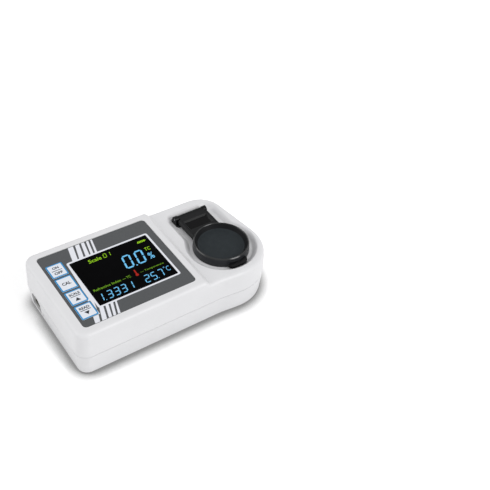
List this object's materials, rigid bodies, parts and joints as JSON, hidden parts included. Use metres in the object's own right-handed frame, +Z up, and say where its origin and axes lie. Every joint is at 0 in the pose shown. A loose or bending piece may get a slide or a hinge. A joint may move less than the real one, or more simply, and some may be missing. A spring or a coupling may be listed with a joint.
{
  "type": "digital refractometer",
  "caption": "Bench digital refractometer with a display panel, keys, a hinged round lid over the sample prism and a data socket in its left wall.",
  "frame": {"origin": "centre of the overall box in plan, at the underside of the feet", "axes": "+X towards the sample end, along the case; +Y from the front wall to the back; +Z up"},
  "size_m": [0.162, 0.09, 0.0395],
  "materials": {
    "case_white": "fine satin moulded ABS, cool white",
    "lid_black": "satin black moulded plastic",
    "inlay_grey": "matt blue-grey inlay",
    "panel_grey": "printed dark grey film",
    "key_white": "white key caps with blue border and dark labels",
    "screen_black": "glossy black display window",
    "diffuser_white": "white diffusing plastic",
    "steel": "fine turned stainless steel",
    "prism_glass": "polished optical glass",
    "board_green": "green solder mask",
    "rubber_black": "matt black rubber",
    "inner_black": "matt black plastic",
    "cell_wrap": "blue wrap"
  },
  "bodies": {
    "casing": {"upper_shell": "case_white", "lower_shell": "case_white", "battery_cover": "case_white", "overlay_panel": "panel_grey", "display_window": "screen_black", "lcd_frame": "steel", "lcd_backlight": "diffuser_white", "lcd_glass": "screen_black", "main_board": "board_green", "usb_socket_shell": "inner_black", "usb_socket_tongue": "diffuser_white", "socket_board": "board_green", "battery_pack": "cell_wrap", "hinge_bracket": "lid_black", "hinge_pin": "steel", "sample_plate": "steel", "prism": "prism_glass", "prism_seal": "rubber_black", "optics_housing": "inner_black", "temperature_probe": "steel", "led_emitter": "prism_glass", "lens": "prism_glass", "sensor_board": "board_green", "line_sensor": "inner_black", "foot_1": "rubber_black", "case_screw_1": "steel", "board_screw_1": "steel", "foot_2": "rubber_black", "case_screw_2": "steel", "board_screw_2": "steel", "foot_3": "rubber_black", "case_screw_3": "steel", "board_screw_3": "steel", "foot_4": "rubber_black", "case_screw_4": "steel", "board_screw_4": "steel", "cover_screw_1": "steel", "hinge_screw_1": "steel", "optics_screw_1": "steel", "cover_screw_2": "steel", "hinge_screw_2": "steel", "optics_screw_2": "steel", "switch_on_off": "inner_black", "switch_cal": "inner_black", "switch_scale": "inner_black", "switch_read": "inner_black"},
    "lid": {"lid": "lid_black", "lid_inlay": "inlay_grey", "lid_gasket": "rubber_black"},
    "key_on_off": {"key_on_off": "key_white"},
    "key_cal": {"key_cal": "key_white"},
    "key_scale": {"key_scale": "key_white"},
    "key_read": {"key_read": "key_white"}
  },
  "joints": [
    {"name": "lid_hinge", "type": "hinge", "parent": "casing", "child": "lid", "pos_m": [0.0478, 0.0286, 0.0361], "axis": [-1, 0, 0], "range_deg": [0, 105]},
    {"name": "key_on_off_press", "type": "slide", "parent": "casing", "child": "key_on_off", "axis": [0, 0, -1], "range_m": [0, 0.00035], "stiffness_N_per_m": 400, "springref_m": -0.0005},
    {"name": "key_cal_press", "type": "slide", "parent": "casing", "child": "key_cal", "axis": [0, 0, -1], "range_m": [0, 0.00035], "stiffness_N_per_m": 400, "springref_m": -0.0005},
    {"name": "key_scale_press", "type": "slide", "parent": "casing", "child": "key_scale", "axis": [0, 0, -1], "range_m": [0, 0.00035], "stiffness_N_per_m": 400, "springref_m": -0.0005},
    {"name": "key_read_press", "type": "slide", "parent": "casing", "child": "key_read", "axis": [0, 0, -1], "range_m": [0, 0.00035], "stiffness_N_per_m": 400, "springref_m": -0.0005}
  ]
}
